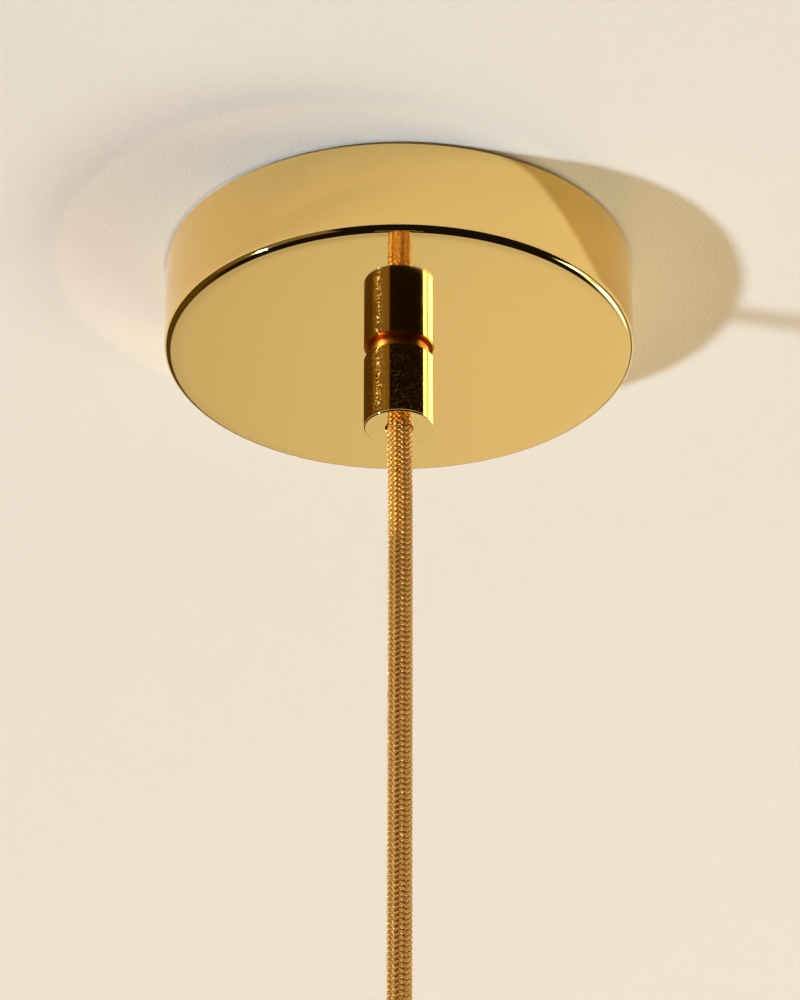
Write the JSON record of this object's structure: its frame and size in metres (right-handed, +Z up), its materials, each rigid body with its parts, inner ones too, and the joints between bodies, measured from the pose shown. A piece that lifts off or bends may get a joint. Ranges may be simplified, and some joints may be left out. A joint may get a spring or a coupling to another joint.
{
  "type": "pendant light",
  "caption": "Polished brass pendant light: flat round ceiling canopy, plain cylindrical cord grip, gold braided cord hanging straight, and a cylindrical screw-cap lampholder.",
  "frame": {"origin": "on the ceiling, at the middle of the ceiling strap's two slots, on the canopy's axis", "axes": "+Z up into the ceiling, X along the ceiling strap, -Y towards the viewer of the picture"},
  "size_m": [0.12, 0.12, 0.3046],
  "materials": {
    "polished_brass": "mirror polished, clear lacquered",
    "plain_brass": "turned, bright",
    "zinc_steel": "bright zinc plated",
    "tinned_copper": "tinned, bright",
    "spring_bronze": "rolled strip",
    "white_nylon": "moulded, slightly translucent white",
    "core_thermoset": "moulded, glossy white",
    "gold_braid": "metallised yarn braid",
    "brown_pvc": "extruded",
    "blue_pvc": "extruded",
    "earth_pvc": "extruded, green with a yellow stripe"
  },
  "bodies": {
    "ceiling_mount": {"ceiling_strap": "zinc_steel", "terminal_block": "white_nylon", "terminal_inserts": "plain_brass", "terminal_screws": "zinc_steel", "block_screw": "zinc_steel", "wire_ferrules": "tinned_copper", "earth_lug": "tinned_copper", "earth_screw": "zinc_steel"},
    "canopy": {"canopy_cup": "polished_brass", "canopy_screws": "plain_brass", "grip_stem": "polished_brass", "grip_washer": "zinc_steel", "grip_locknut": "plain_brass", "cord_tail": "gold_braid", "live_wire": "brown_pvc", "neutral_wire": "blue_pvc", "earth_wire": "earth_pvc"},
    "collet": {"grip_bush": "white_nylon", "cord_stub": "gold_braid"},
    "sleeve": {"grip_sleeve": "polished_brass"},
    "cord_top": {"cord_upper": "gold_braid"},
    "lamp": {"cord_lower": "gold_braid", "holder_collar": "polished_brass", "collar_screw": "plain_brass", "holder_cover": "polished_brass", "holder_washer": "zinc_steel", "holder_bracket": "zinc_steel", "holder_locknut": "plain_brass", "holder_core": "core_thermoset", "core_screws": "zinc_steel", "screw_shell": "plain_brass", "centre_contact": "spring_bronze", "contact_screw": "plain_brass", "core_terminals": "plain_brass", "core_terminal_screws": "zinc_steel", "lamp_live_wire": "brown_pvc", "lamp_neutral_wire": "blue_pvc", "lamp_earth_wire": "earth_pvc", "lamp_earth_screw": "zinc_steel"}
  },
  "joints": [
    {"name": "canopy_drop", "type": "slide", "parent": "ceiling_mount", "child": "canopy", "axis": [0, 0, -1], "range_m": [0, 0.04]},
    {"name": "collet_feed", "type": "slide", "parent": "canopy", "child": "collet", "axis": [0, 0, -1], "range_m": [0, 0.006]},
    {"name": "grip_turn", "type": "hinge", "parent": "collet", "child": "sleeve", "pos_m": [0, 0, -0.04735], "axis": [0, 0, -1], "range_deg": [0, 2165]},
    {"name": "swing_side", "type": "hinge", "parent": "collet", "child": "cord_top", "pos_m": [0, 0, -0.0469], "axis": [0, 1, 0], "range_deg": [-15, 15]},
    {"name": "swing_depth", "type": "hinge", "parent": "cord_top", "child": "lamp", "pos_m": [0, 0, -0.0928], "axis": [1, 0, 0], "range_deg": [-15, 15]}
  ],
  "couplings": [
    {"joint": "grip_turn", "follows": "collet_feed", "rad_per_m": 6283.2}
  ]
}
